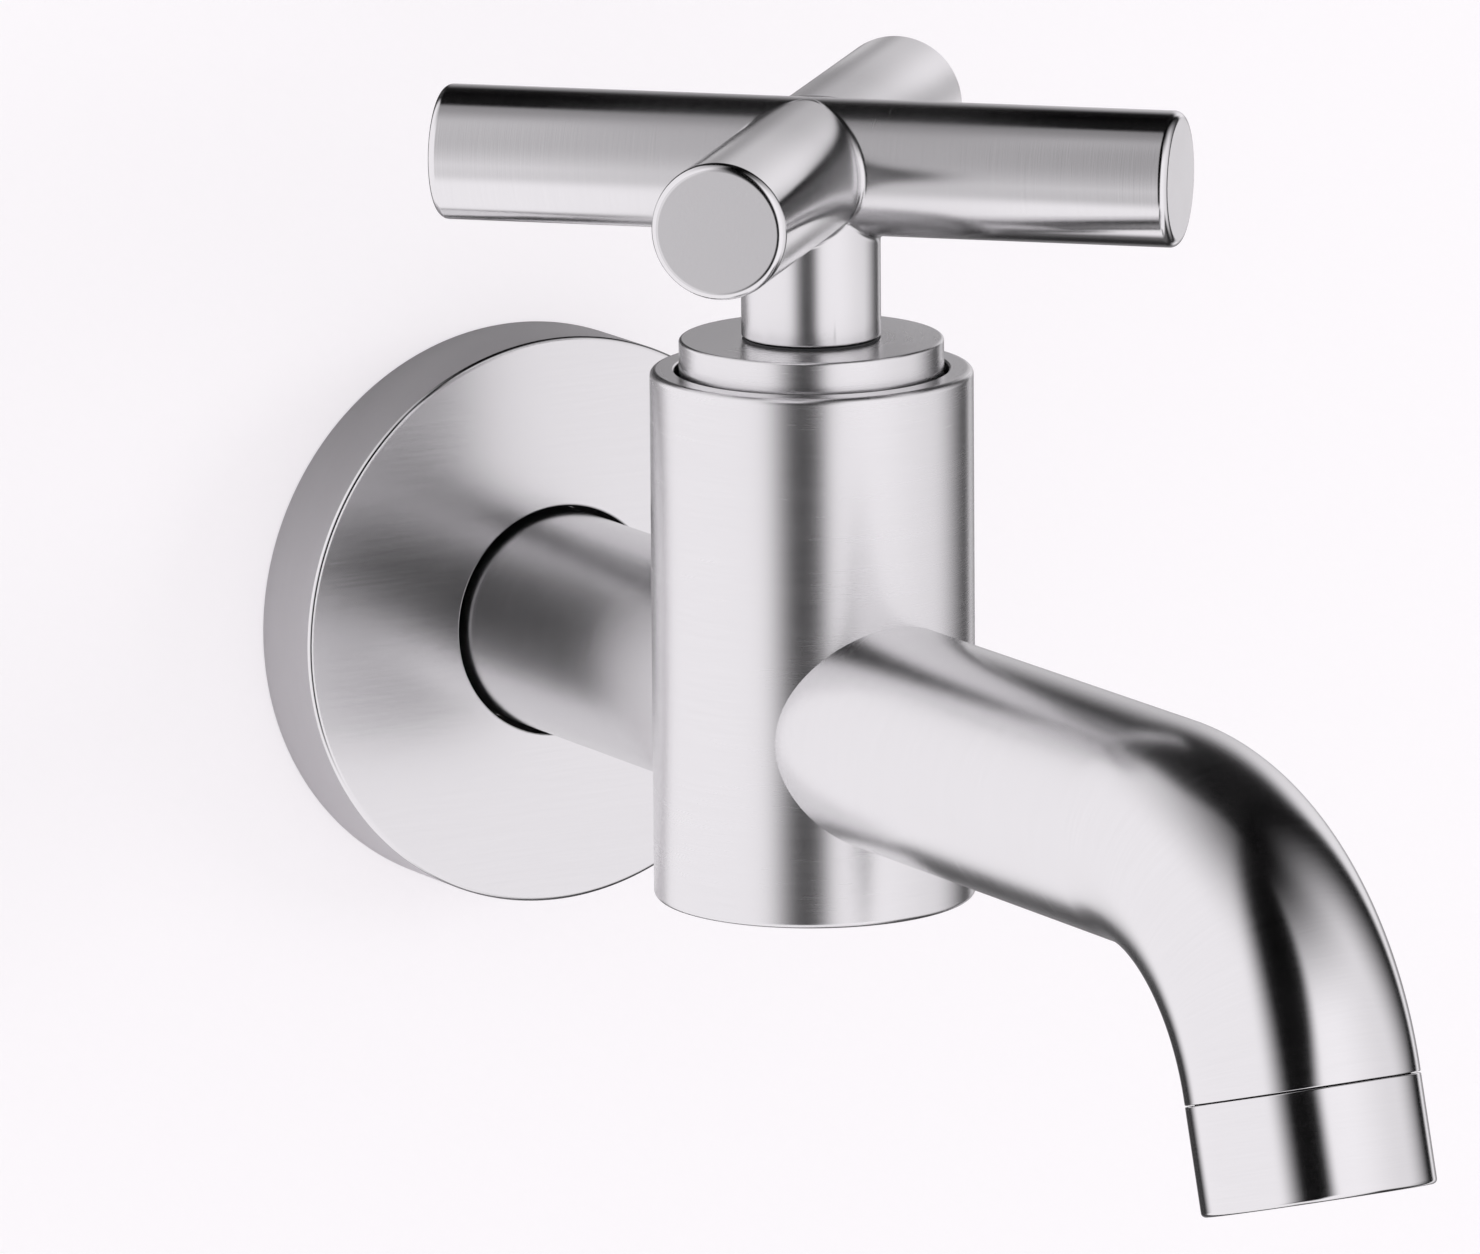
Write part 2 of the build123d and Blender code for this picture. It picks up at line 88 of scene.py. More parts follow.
class Tree:
    # Adds nodes to a node tree and links them

    def __init__(self, tree):
        self.tree = tree

    def add(self, kind, settings=None, values=None, output=0):
        node = self.tree.nodes.new(kind)
        for key, setting in (settings or {}).items():
            setattr(node, key, setting)
        for key, value in (values or {}).items():
            if isinstance(value, Value):
                self.tree.links.new(value.socket, node.inputs[key])
            else:
                node.inputs[key].default_value = value
        return Value(self, node.outputs[output]) if node.outputs else node

    def place(self):
        # where a point lies in its object, in metres
        return self.add("ShaderNodeTexCoord", output="Object")

    def split(self, vector):
        return [self.add("ShaderNodeSeparateXYZ", {}, {0: vector}, axis) for axis in range(3)]

    def noise(self, vector, detail, scale=1.0):
        values = {"Vector": vector, "Scale": scale, "Detail": detail}
        return self.add("ShaderNodeTexNoise", {}, values)

    def stretch(self, vector, factors):
        return self.add("ShaderNodeVectorMath", {"operation": "MULTIPLY"}, {0: vector, 1: factors})

    def ramp(self, value, fromLow, fromHigh, toLow=0.0, toHigh=1.0):
        values = {0: value, 1: fromLow, 2: fromHigh, 3: toLow, 4: toHigh}
        return self.add("ShaderNodeMapRange", {"interpolation_type": "SMOOTHSTEP"}, values)

    def blendColours(self, factor, first, second):
        # the colours are this node's inputs 6 and 7 and its output 2
        return self.add("ShaderNodeMix", {"data_type": "RGBA"}, {0: factor, 6: first, 7: second}, 2)


def meshAfterModifiers(carrier):
    depsgraph = bpy.context.evaluated_depsgraph_get()
    evaluated = carrier.evaluated_get(depsgraph)
    mesh = bpy.data.meshes.new_from_object(evaluated, depsgraph=depsgraph)
    bpy.data.objects.remove(carrier)
    return mesh


class Recipe(Tree):
    # A geometry node group with named inputs, run once on an empty carrier

    def __init__(self, name, inputs):
        super().__init__(bpy.data.node_groups.new(name, "GeometryNodeTree"))
        self.inputs = {}
        for label, value in inputs.items():
            kind = "NodeSocketInt" if isinstance(value, int) else "NodeSocketFloat"
            socket = self.tree.interface.new_socket(name=label, in_out="INPUT", socket_type=kind)
            self.inputs[socket.identifier] = value
        self.tree.interface.new_socket(name="Mesh", in_out="OUTPUT", socket_type="NodeSocketGeometry")

    def given(self, label):
        return self.add("NodeGroupInput", output=label)

    def vector(self, x=0.0, y=0.0, z=0.0):
        return self.add("ShaderNodeCombineXYZ", {}, {0: x, 1: y, 2: z})

    def moved(self, geometry, offset=(0, 0, 0), turn=(0, 0, 0)):
        values = {"Geometry": geometry, "Translation": offset, "Rotation": turn}
        return self.add("GeometryNodeTransform", {}, values)

    def realized(self, geometry):
        return self.add("GeometryNodeRealizeInstances", {}, {"Geometry": geometry})

    def made(self, geometry, material):
        values = {"Geometry": self.realized(geometry), "Material": material}
        self.add("NodeGroupOutput", {}, {"Mesh": self.add("GeometryNodeSetMaterial", {}, values)})
        carrier = bpy.data.objects.new(self.tree.name, bpy.data.meshes.new(self.tree.name))
        scene.collection.objects.link(carrier)
        modifier = carrier.modifiers.new(self.tree.name, "NODES")
        modifier.node_group = self.tree
        for identifier, value in self.inputs.items():
            modifier[identifier] = value
        return meshAfterModifiers(carrier)


# Materials

def newMaterial(name):
    material = bpy.data.materials.new(name)
    material.use_nodes = True
    material.node_tree.nodes.clear()
    return material, Tree(material.node_tree)


def finishMaterial(tree, values, height, look):
    bump = {"Height": height, "Distance": look["bumpDistance"], "Strength": look["bumpStrength"]}
    values = dict(values, Normal=tree.add("ShaderNodeBump", {}, bump))
    surface = tree.add("ShaderNodeBsdfPrincipled", {}, values)
    tree.add("ShaderNodeOutputMaterial", {}, {"Surface": surface})


def grey(level):
    return (level, level * 0.995, level * 1.005, 1.0)


def fromHub(tree, near, far):
    # 0 near the middle of the cross to 1 far from it, in metres
    centre = (0, -tube["axisToBody"] * millimetre, handle["height"] * millimetre)
    values = {0: tree.place(), 1: centre}
    distance = tree.add("ShaderNodeVectorMath", {"operation": "DISTANCE"}, values, "Value")
    return tree.ramp(distance, near, far)


# Brushed metal changes slowly along its marks and fast across them

brushed = {
    "ways": {  # shares of x, y and z in the slow and in the fast change
        "turned": ((1, 1, 0), (0, 0, 1)),
        "level": ((1, 0, 0), (0, 1, 1)),
        "plain": ((1, 1, 1), (1, 1, 1)),
    },
    "streaks": (  # slow and fast changes per metre, detail, share
        (220, 9000, 2, 0.5),
        (80, 2600, 2, 0.3),
        (25, 500, 1, 0.2),
    ),
    "cloudScale": 45, "cloudDetail": 3, "markTone": 0.8, "cloudTone": 0.2,
    "markRoughness": 0.10, "cloudRoughness": 0.05, "bumpDistance": 0.000008, "bumpStrength": 0.35,
}


def metalMaterial(name, grain, dark, light, roughness, smoother=0.0, near=0.0, far=1.0):
    # smoother is how much the roughness falls from near the hub to far from it
    material, tree = newMaterial(name)
    if grain == "turned":  # brushed round the piece, with marks that follow its outline
        place = tree.add("ShaderNodeAttribute", {"attribute_name": "grain"}, output="Vector")
    else:
        place = tree.place()
    slowWays, fastWays = brushed["ways"][grain]
    marks = 0
    for slow, fast, detail, share in brushed["streaks"]:
        ways = zip(slowWays, fastWays)
        factors = tuple(slow * slowWay + fast * fastWay for slowWay, fastWay in ways)
        marks = marks + tree.noise(tree.stretch(place, factors), detail=detail) * share
    cloud = tree.noise(tree.place(), scale=brushed["cloudScale"], detail=brushed["cloudDetail"])
    tone = marks * brushed["markTone"] + cloud * brushed["cloudTone"]
    polished = roughness - fromHub(tree, near, far) * smoother
    uneven = polished + (marks - 0.5) * brushed["markRoughness"]
    values = {
        "Base Color": tree.blendColours(tone, dark, light),
        "Metallic": 1.0,
        "Roughness": uneven + (cloud - 0.5) * brushed["cloudRoughness"],
    }
    finishMaterial(tree, values, marks, brushed)
    return material


moulded = {
    "grainScale": 900.0, "grainDetail": 4, "cloudScale": 90, "cloudDetail": 2,
    "grainTone": 0.6, "cloudTone": 0.4, "toneFrom": 0.3, "toneTo": 0.7,
    "grainRoughness": 0.2, "cloudRoughness": 0.1, "bumpDistance": 0.00002, "bumpStrength": 0.4,
}


def mouldedMaterial(name, dark, light, roughness, coat=0.0, **changes):
    look = dict(moulded, **changes)
    material, tree = newMaterial(name)
    place = tree.place()
    grainy = tree.noise(place, scale=look["grainScale"], detail=look["grainDetail"])
    cloud = tree.noise(place, scale=look["cloudScale"], detail=look["cloudDetail"])
    tone = grainy * look["grainTone"] + cloud * look["cloudTone"]
    uneven = roughness + (grainy - 0.5) * look["grainRoughness"]
    values = {
        "Base Color": tree.blendColours(tree.ramp(tone, look["toneFrom"], look["toneTo"]), dark, light),
        "Roughness": uneven + (cloud - 0.5) * look["cloudRoughness"],
        "Coat Weight": coat,
    }
    finishMaterial(tree, values, grainy, look)
    return material


steelTones = (grey(0.71), grey(0.79))
steelTurned = metalMaterial("steelTurned", "turned", *steelTones, roughness=0.26)
steelFine = metalMaterial("steelFine", "turned", *steelTones, roughness=0.16)
# painted shade: a darker copy of the turned steel for the inlet tube, which lies in shade between the
# rose and the body
steelInletPaintedShade = metalMaterial("steelInletPaintedShade", "turned", grey(0.62), grey(0.70), roughness=0.21)
steelRod = metalMaterial(
    "steelRod", "turned", *steelTones, roughness=0.25, smoother=0.11, near=0.014, far=0.034)
steelTube = metalMaterial(
    "steelTube", "turned", *steelTones, roughness=0.25, smoother=0.12, near=0.085, far=0.125)
steelLevel = metalMaterial("steelLevel", "level", grey(0.61), grey(0.68), roughness=0.15)
steelFace = metalMaterial("steelFace", "level", grey(0.70), grey(0.78), roughness=0.25)
slotMaterials = {
    "plain_steel": metalMaterial("plainSteel", "plain", grey(0.30), grey(0.42), roughness=0.38),
    "brushed_steel": steelTurned,
    "brass": metalMaterial("brass", "plain", (0.66, 0.47, 0.22, 1), (0.80, 0.61, 0.33, 1), 0.3),
    "spring_steel": metalMaterial(
        "springSteel", "plain", (0.16, 0.16, 0.17, 1), (0.28, 0.28, 0.29, 1), 0.35),
    "rubber": mouldedMaterial("rubber", (0.018, 0.018, 0.018, 1), (0.035, 0.035, 0.035, 1), 0.7),
    "gasket_fibre": mouldedMaterial(
        "gasketFibre", (0.22, 0.06, 0.04, 1), (0.36, 0.12, 0.08, 1), 0.8, grainScale=2400),
    "ceramic": mouldedMaterial(
        "ceramic", (0.80, 0.78, 0.73, 1), (0.88, 0.86, 0.82, 1), 0.16, coat=0.3,
        bumpDistance=0.000004),
    "white_plastic": mouldedMaterial(
        "whitePlastic", (0.70, 0.70, 0.68, 1), (0.79, 0.79, 0.77, 1), 0.42),
    "black_plastic": mouldedMaterial(
        "blackPlastic", (0.012, 0.012, 0.013, 1), (0.028, 0.028, 0.03, 1), 0.45),
}
print("materials made for", len(slotMaterials), "slots")


# Turned meshes

# an outline's corners are (radius, along, rounding), anticlockwise with the radius to the right
turning = {"segments": 192, "degreesPerStep": 9, "fewestSteps": 3, "tiny": 1e-6, "flatFrom": 0.9}


def cornerArc(here, before, after, rounding):
    # the points of a rounded corner with their normals
    turn = before.angle_signed(after)  # clockwise is positive
    side = 1.0 if turn < 0 else -1.0
    outward = Vector((before.y, -before.x))
    centre = here - before * rounding * math.tan(abs(turn) / 2) - outward * rounding * side
    steps = max(turning["fewestSteps"], round(abs(math.degrees(turn)) / turning["degreesPerStep"]))
    points = []
    for step in range(steps + 1):
        normal = outward.copy()
        normal.rotate(Matrix.Rotation(-turn * step / steps, 2))
        points.append((centre + normal * rounding * side, normal, normal))
    return points


def outlinePoints(corners):
    # each point has the normal of the side before it and of the side after it
    points = []
    total = len(corners)
    for index, corner in enumerate(corners):
        here = Vector(corner[:2])
        before = (here - Vector(corners[index - 1][:2])).normalized()
        after = (Vector(corners[(index + 1) % total][:2]) - here).normalized()
        if len(corner) > 2:
            points += cornerArc(here, before, after, corner[2])
        else:
            points.append((here, Vector((before.y, -before.x)), Vector((after.y, -after.x))))
    return points


def dividedPoints(points, breaks):
    # with more points where a side passes one of the breaks
    tiny = turning["tiny"]
    divided = []
    for index, (point, normalIn, normalOut) in enumerate(points):
        divided.append((point, normalIn, normalOut))
        following = points[(index + 1) % len(points)][0]
        low, high = sorted((point.y, following.y))
        inside = [level for level in breaks if low + tiny < level < high - tiny]
        for level in sorted(inside, reverse=following.y < point.y):
            share = (level - point.y) / (following.y - point.y)
            divided.append((point.lerp(following, share), normalOut, normalOut))
    return divided


def straightPath(origin, direction, sideways):
    axis = Vector(direction).normalized()
    first = Vector(sideways).normalized()
    second = axis.cross(first)
    return lambda along: (Vector(origin) + axis * along, first, second, axis)


def turnedRings(points, path, segments, reshape):
    # the vertices, their places in the grain, and the numbers of each ring's vertices
    vertices, grains, rings = [], [], []
    travelled = 0.0
    for index, (point, _, _) in enumerate(points):
        travelled += (point - points[index - 1][0]).length if index else 0.0
        ring = []
        for step in range(1 if point.x < turning["tiny"] else segments):
            angle = math.tau * step / segments
            x, y = point.x * math.cos(angle), point.x * math.sin(angle)
            along = reshape(x, y, point.y) if reshape else point.y
            origin, first, second, _ = path(along)
            ring.append(len(vertices))
            vertices.append((origin + first * x + second * y) * millimetre)
            grains += [x * millimetre, y * millimetre, travelled * millimetre]
        rings.append(ring)
    return vertices, grains, rings


def turnedFaces(points, path, segments, rings):
    # the faces between the rings, their corners' normals, and which of them look along the axis
    faces, normals, flats = [], [], []
    for index, (point, _, normalOut) in enumerate(points):
        nextPoint, nextNormal, _ = points[(index + 1) % len(points)]
        low, high = rings[index], rings[(index + 1) % len(rings)]
        if len(low) == 1 and len(high) == 1:
            continue
        ends = ((low, normalOut, path(point.y)), (high, nextNormal, path(nextPoint.y)))
        for step in range(segments):
            following = (step + 1) % segments
            corners = [(0, step), (0, following), (1, following), (1, step)]
            if len(low) == 1:
                corners.pop(0)
            if len(high) == 1:
                corners.pop(2)
            face = []
            for end, place in corners:
                ring, normal, (_, first, second, axis) = ends[end]
                face.append(ring[0] if len(ring) == 1 else ring[place])
                angle = math.tau * place / segments
                radial = first * math.cos(angle) + second * math.sin(angle)
                normals.append((radial * normal.x + axis * normal.y).normalized())
            faces.append(face)
            flats.append(int(abs(normalOut.y) > turning["flatFrom"]))
    return faces, normals, flats


def turnedMesh(name, corners, path, segments=turning["segments"], breaks=(), reshape=None):
    points = dividedPoints(outlinePoints(corners), breaks)
    vertices, grains, rings = turnedRings(points, path, segments, reshape)
    faces, normals, flats = turnedFaces(points, path, segments, rings)
    mesh = bpy.data.meshes.new(name)
    mesh.from_pydata(vertices, [], faces)
    mesh.attributes.new("grain", "FLOAT_VECTOR", "POINT").data.foreach_set("vector", grains)
    mesh.shade_smooth()
    mesh.normals_split_custom_set(normals)
    mesh["flats"] = flats
    return mesh


def showPiece(name, mesh, body, slot, replaced=None, material=None, flatMaterial=None):
    # flatMaterial is for the faces that look along the piece's axis
    piece = bpy.data.objects.new(name, mesh)
    scene.collection.objects.link(piece)
    mesh.materials.clear()
    mesh.materials.append(material or slotMaterials[slot])
    if flatMaterial:
        mesh.materials.append(flatMaterial)
        mesh.polygons.foreach_set("material_index", list(mesh["flats"]))
    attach(piece, body)
    if replaced:
        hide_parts(replaced)


def cutMesh(mesh, cutter, sharpAngle=30):
    base = bpy.data.objects.new("cutBase", mesh)
    tool = bpy.data.objects.new("cutTool", cutter)
    for piece in (base, tool):
        scene.collection.objects.link(piece)
    modifier = base.modifiers.new("cut", "BOOLEAN")
    modifier.operation = "DIFFERENCE"
    modifier.solver = "EXACT"
    modifier.object = tool
    result = meshAfterModifiers(base)
    bpy.data.objects.remove(tool)
    result.set_sharp_from_angle(angle=math.radians(sharpAngle))
    return result


def joinedMesh(name, meshes, sharpAngle=25):
    joined = bmesh.new()
    for mesh in meshes:
        joined.from_mesh(mesh)
    result = bpy.data.meshes.new(name)
    joined.to_mesh(result)
    joined.free()
    result.set_sharp_from_angle(angle=math.radians(sharpAngle))
    return result


bodyPath = straightPath((0, -tube["axisToBody"], 0), (0, 0, 1), (1, 0, 0))
wallPath = straightPath((0, 0, 0), (0, 1, 0), (1, 0, 0))


# Body, as bored for the headwork and with the cover collar and the plastic glide ring on it

upright = {
    "radius": 17.05, "bottom": -19.8, "top": 36.85, "bottomRound": 0.6, "topRound": 0.7,
    "mouth": 14.5, "mouthFloor": 27.55, "bevel": 0.15, "bevelRound": 0.05,
    "thread": 10.4975, "threadEnd": 19.95, "chamber": 12.0, "chamberFloor": 13.45,
    "barrel": 9.5, "barrelFloor": 0.8, "seat": 7.6, "seatTop": 2.0, "well": 5.5, "wellFloor": -11.0,
    "segments": 256,
}
bodyOutline = [
    (0, upright["bottom"]),
    (upright["radius"], upright["bottom"], upright["bottomRound"]),
    (upright["radius"], upright["top"], upright["topRound"]),
    (upright["mouth"] + upright["bevel"], upright["top"], upright["bevelRound"]),
    (upright["mouth"], upright["top"] - upright["bevel"], upright["bevelRound"]),
    (upright["mouth"], upright["mouthFloor"]),
    (upright["thread"], upright["mouthFloor"]),
    (upright["thread"], upright["threadEnd"]),
    (upright["chamber"], upright["threadEnd"]),
    (upright["chamber"], upright["chamberFloor"]),
    (upright["barrel"], upright["chamberFloor"]),
    (upright["barrel"], upright["barrelFloor"]),
    (upright["seat"], upright["barrelFloor"]),
    (upright["seat"], upright["seatTop"]),
    (upright["well"], upright["seatTop"]),
    (upright["well"], upright["wellFloor"]),
    (0, upright["wellFloor"]),
]
bodyMesh = turnedMesh("bodyShell", bodyOutline, bodyPath, upright["segments"])
showPiece("bodyShell", bodyMesh, "tap", "brushed_steel", "valve_body")

collar = {
    "radius": 13.952, "wall": 1.0, "bottom": 29.05, "top": 40.1, "bottomRound": 0.2, "topRound": 0.35,
    "mouth": 7.22, "mouthFloor": 39.3, "mouthRound": 0.1, "lip": 6.2, "lipUnder": 38.3,
    "waist": 7.2, "waistUnder": 36.6, "shoulder": 9.52, "roof": 33.1, "segments": 224,
}
collarOutline = [
    (collar["radius"] - collar["wall"], collar["bottom"]),
    (collar["radius"], collar["bottom"], collar["bottomRound"]),
    (collar["radius"], collar["top"], collar["topRound"]),
    (collar["mouth"], collar["top"], collar["mouthRound"]),
    (collar["mouth"], collar["mouthFloor"]),
    (collar["lip"], collar["mouthFloor"]),
    (collar["lip"], collar["lipUnder"]),
    (collar["waist"], collar["lipUnder"]),
    (collar["waist"], collar["waistUnder"]),
    (collar["shoulder"], collar["waistUnder"]),
    (collar["shoulder"], collar["roof"]),
    (collar["radius"] - collar["wall"], collar["roof"]),
]
collarMesh = turnedMesh("coverRing", collarOutline, bodyPath, collar["segments"])
showPiece("coverRing", collarMesh, "tap", "brushed_steel", "cover_collar")

glide = {"radius": 7.2, "top": 40.3, "rounding": 0.15, "segments": 128}
glideOutline = [
    (collar["lip"], collar["mouthFloor"]),
    (glide["radius"], collar["mouthFloor"]),
    (glide["radius"], glide["top"], glide["rounding"]),
    (collar["lip"], glide["top"], glide["rounding"]),
]
glideMesh = turnedMesh("glideBand", glideOutline, bodyPath, glide["segments"])
showPiece("glideBand", glideMesh, "tap", "black_plastic", "glide_ring")
print("body made")


# Inlet

inlet = {"bodyEnd": -53.1, "wallEnd": -1.0, "bodyRound": 0.15, "wallRound": 0.25, "boreRound": 0.1}
inletOutline = [
    (tube["bore"], inlet["bodyEnd"]),
    (tube["radius"], inlet["bodyEnd"], inlet["bodyRound"]),
    (tube["radius"], inlet["wallEnd"], inlet["wallRound"]),
    (tube["bore"], inlet["wallEnd"], inlet["boreRound"]),
]
inletMesh = turnedMesh("inletPipe", inletOutline, wallPath)
showPiece("inletPipe", inletMesh, "tap", "brushed_steel", "inlet_tube", steelInletPaintedShade)


# The nipple's G1/2 thread is a helical ridge on a core of the thread's root diameter

nipple = {
    "bore": 7.5, "spigot": 9.98, "spigotEnd": -12.0, "endRound": 0.3, "wallEnd": 13.0,
    "flangeEnd": 0.2, "flangeRound": 0.2, "root": 9.3155, "crest": 10.4775, "pitch": 1.814,
    "start": 0.6, "end": 12.85, "sink": 0.15, "footShare": 0.98, "tipShare": 0.16,
    "stepsPerTurn": 120, "runOut": 1.6, "thinnest": 0.08,
}


def threadRidge():
    recipe = Recipe("threadRidge", {
        "Turns": (nipple["end"] - nipple["start"]) / nipple["pitch"],
        "Pitch": nipple["pitch"] * millimetre,
        "Radius": nipple["root"] * millimetre,
        "Depth": (nipple["crest"] - nipple["root"]) * millimetre,
        "Sink": nipple["sink"] * millimetre,
        "Points per turn": nipple["stepsPerTurn"],
    })
    turns, pitch, radius = recipe.given("Turns"), recipe.given("Pitch"), recipe.given("Radius")
    depth, below = recipe.given("Depth"), recipe.given("Sink")
    helix = recipe.add("GeometryNodeCurveSpiral", {}, {
        "Resolution": recipe.given("Points per turn"),
        "Rotations": turns,
        "Start Radius": radius,
        "End Radius": radius,
        "Height": turns * pitch,
        "Reverse": True,
    })
    helix = recipe.add("GeometryNodeSetCurveNormal", {"mode": "Z_UP"}, {"Curve": helix})
    ridge = recipe.add("GeometryNodeCurvePrimitiveQuadrilateral", {"mode": "TRAPEZOID"}, {
        "Height": depth + below,
        "Bottom Width": pitch * nipple["footShare"],
        "Top Width": pitch * nipple["tipShare"],
        "Offset": 0.0,
    })
    ridge = recipe.moved(ridge, recipe.vector(y=(depth - below) * 0.5))
    ridge = recipe.moved(ridge, turn=(0, 0, -math.pi / 2))
    share = recipe.add("GeometryNodeSplineParameter")
    runOut = share.maths("MINIMUM", 1 - share) * turns * nipple["runOut"]
    runOut = runOut.maths("MAXIMUM", nipple["thinnest"]).maths("MINIMUM", 1.0)
    values = {"Curve": helix, "Profile Curve": ridge, "Scale": runOut, "Fill Caps": True}
    swept = recipe.add("GeometryNodeCurveToMesh", {}, values)
    placed = recipe.moved(swept, (0, nipple["start"] * millimetre, 0), (-math.pi / 2, 0, 0))
    return recipe.made(placed, slotMaterials["plain_steel"])


nippleOutline = [
    (nipple["bore"], nipple["spigotEnd"]),
    (nipple["spigot"], nipple["spigotEnd"], nipple["endRound"]),
    (nipple["spigot"], inlet["wallEnd"]),
    (nipple["crest"], inlet["wallEnd"], nipple["flangeRound"]),
    (nipple["crest"], nipple["flangeEnd"], nipple["flangeRound"]),
    (nipple["root"], nipple["flangeEnd"]),
    (nipple["root"], nipple["wallEnd"], nipple["endRound"]),
    (nipple["bore"], nipple["wallEnd"], nipple["endRound"]),
]
core = turnedMesh("nippleCore", nippleOutline, wallPath)
threaded = joinedMesh("threadedNipple", [core, threadRidge()])
showPiece("threadedNipple", threaded, "tap", "plain_steel", "inlet_nipple")
print("inlet made")


# Spout

spout = {
    "bendStart": 131.9, "bendRadius": 28.4, "bendAngle": 74.0, "bendSteps": 74, "tail": 0.6,
    "bodyEnd": 10.9, "mouth": 10.5, "mouthDepth": 5.0, "endRound": 0.14, "mouthRound": 0.1,
}
straightLength = spout["bendStart"] - tube["axisToBody"]
arcLength = math.radians(spout["bendAngle"]) * spout["bendRadius"]
spoutEnd = straightLength + arcLength + spout["tail"]


def bentPath(along):
    # along is the distance from the body's axis on the spout's centre line
    turned = min(max(along - straightLength, 0.0), arcLength) / spout["bendRadius"]
    over = along - straightLength - arcLength
    axis = Vector((0, -math.cos(turned), -math.sin(turned)))
    up = Vector((0, -math.sin(turned), math.cos(turned)))
    if along <= straightLength:
        origin = Vector((0, -tube["axisToBody"] - along, 0))
    else:
        centre = Vector((0, -spout["bendStart"], -spout["bendRadius"]))
        origin = centre + up * spout["bendRadius"] + axis * max(over, 0.0)
    return origin, Vector((1, 0, 0)), up, axis


spoutOutline = [
    (tube["bore"], spout["bodyEnd"]),
    (tube["radius"], spout["bodyEnd"]),
    (tube["radius"], spoutEnd, spout["endRound"]),
    (spout["mouth"], spoutEnd, spout["mouthRound"]),
    (spout["mouth"], spoutEnd - spout["mouthDepth"]),
    (tube["bore"], spoutEnd - spout["mouthDepth"]),
]
bendBreaks = [
    straightLength + arcLength * step / spout["bendSteps"] for step in range(spout["bendSteps"] + 1)
]
spoutMesh = turnedMesh("spoutPipe", spoutOutline, bentPath, breaks=bendBreaks)
showPiece("spoutPipe", spoutMesh, "tap", "brushed_steel", "spout_tube", steelTube)
endPoint, endSide, _, endAxis = bentPath(spoutEnd)
outletPath = straightPath(endPoint, endAxis, endSide)

aerator = {
    "bore": 11.02, "gap": 0.12, "end": 11.4, "lip": 9.8, "lipFrom": 7.0,
    "gapRound": 0.14, "endRound": 0.5, "lipRound": 0.2,
}
aeratorOutline = [
    (aerator["bore"], aerator["gap"]),
    (tube["radius"], aerator["gap"], aerator["gapRound"]),
    (tube["radius"], aerator["end"], aerator["endRound"]),
    (aerator["lip"], aerator["end"], aerator["lipRound"]),
    (aerator["lip"], aerator["lipFrom"]),
    (aerator["bore"], aerator["lipFrom"]),
]
aeratorMesh = turnedMesh("aeratorRing", aeratorOutline, outletPath)
showPiece("aeratorRing", aeratorMesh, "tap", "brushed_steel", "aerator_shell", steelTube)
print("spout made")


# Handle

def barPath(turn):
    angle = math.radians(handle["turn"] + turn)
    along = (math.cos(angle), math.sin(angle), 0)
    return straightPath((0, -tube["axisToBody"], handle["height"]), along, (0, 0, 1))


def armSaddle(x, y, along):
    # x is upright, so the arm's inner end follows the round side of the cross bar
    return math.sqrt((handle["bar"] + handle["seam"]) ** 2 - x ** 2) if along < handle["bar"] else along


def rodEnd(reach):
    return [(handle["bar"], reach, handle["rounding"]), (0, reach)]


barOutline = [(0, -handle["reach"]), (handle["bar"], -handle["reach"], handle["rounding"])]
barMesh = turnedMesh("longBar", barOutline + rodEnd(handle["reach"]), barPath(0))
showPiece("longBar", barMesh, "handle", "brushed_steel", "cross_bar", steelRod, steelLevel)
armOutline = [(radius, 0) for radius in (0, *handle["armRings"], handle["bar"])] + rodEnd(handle["arm"])
for name, turn, node in (("armFront", -90, "front_arm"), ("armRear", 90, "rear_arm")):
    armMesh = turnedMesh(name, armOutline, barPath(turn), reshape=armSaddle)
    showPiece(name, armMesh, "handle", "brushed_steel", node, steelRod, steelLevel)


# Narrow braze fillets at the roots of the arms and the top of the stem, as a rolled ball leaves them

bead = {
    "radius": 0.85, "steps": 96, "arcSteps": 12, "rootShare": 0.92, "grainAcross": 0.0001,
    "grainAlong": 0.0002, "mergeDistance": 1e-8,
}


def beadSection(ball, first, second, root):
    # the arc between the places where the ball touches two pieces, and a point inside the metal
    shares = [step / bead["arcSteps"] for step in range(bead["arcSteps"] + 1)]
    normals = [first.slerp(second, share, first) for share in shares]
    return [ball - normal * bead["radius"] for normal in normals] + [root], normals + [Vector()]


def armSection(axis, side, up, angle):
    out, rise = math.cos(angle), math.sin(angle)
    corner = (axis + side) * out + up * rise
    ball = corner * (handle["bar"] + bead["radius"])
    root = corner * handle["bar"] * bead["rootShare"]
    return beadSection(ball, side * out + up * rise, axis * out + up * rise, root)


def stemSection(axis, side, up, angle):
    outward = axis * math.cos(angle) + side * math.sin(angle)
    reach, away = handle["bar"] + bead["radius"], handle["stem"] + bead["radius"]
    sideways = away * math.sin(angle)
    drop = math.sqrt(reach ** 2 - sideways ** 2)
    onBar = (side * sideways - up * drop) / reach
    inside = handle["stem"] * bead["rootShare"]
    depth = math.sqrt(handle["bar"] ** 2 - (inside * math.sin(angle)) ** 2)
    root = outward * handle["stem"] * bead["rootShare"] - up * depth * bead["rootShare"]
    return beadSection(outward * away - up * drop, outward, onBar, root)


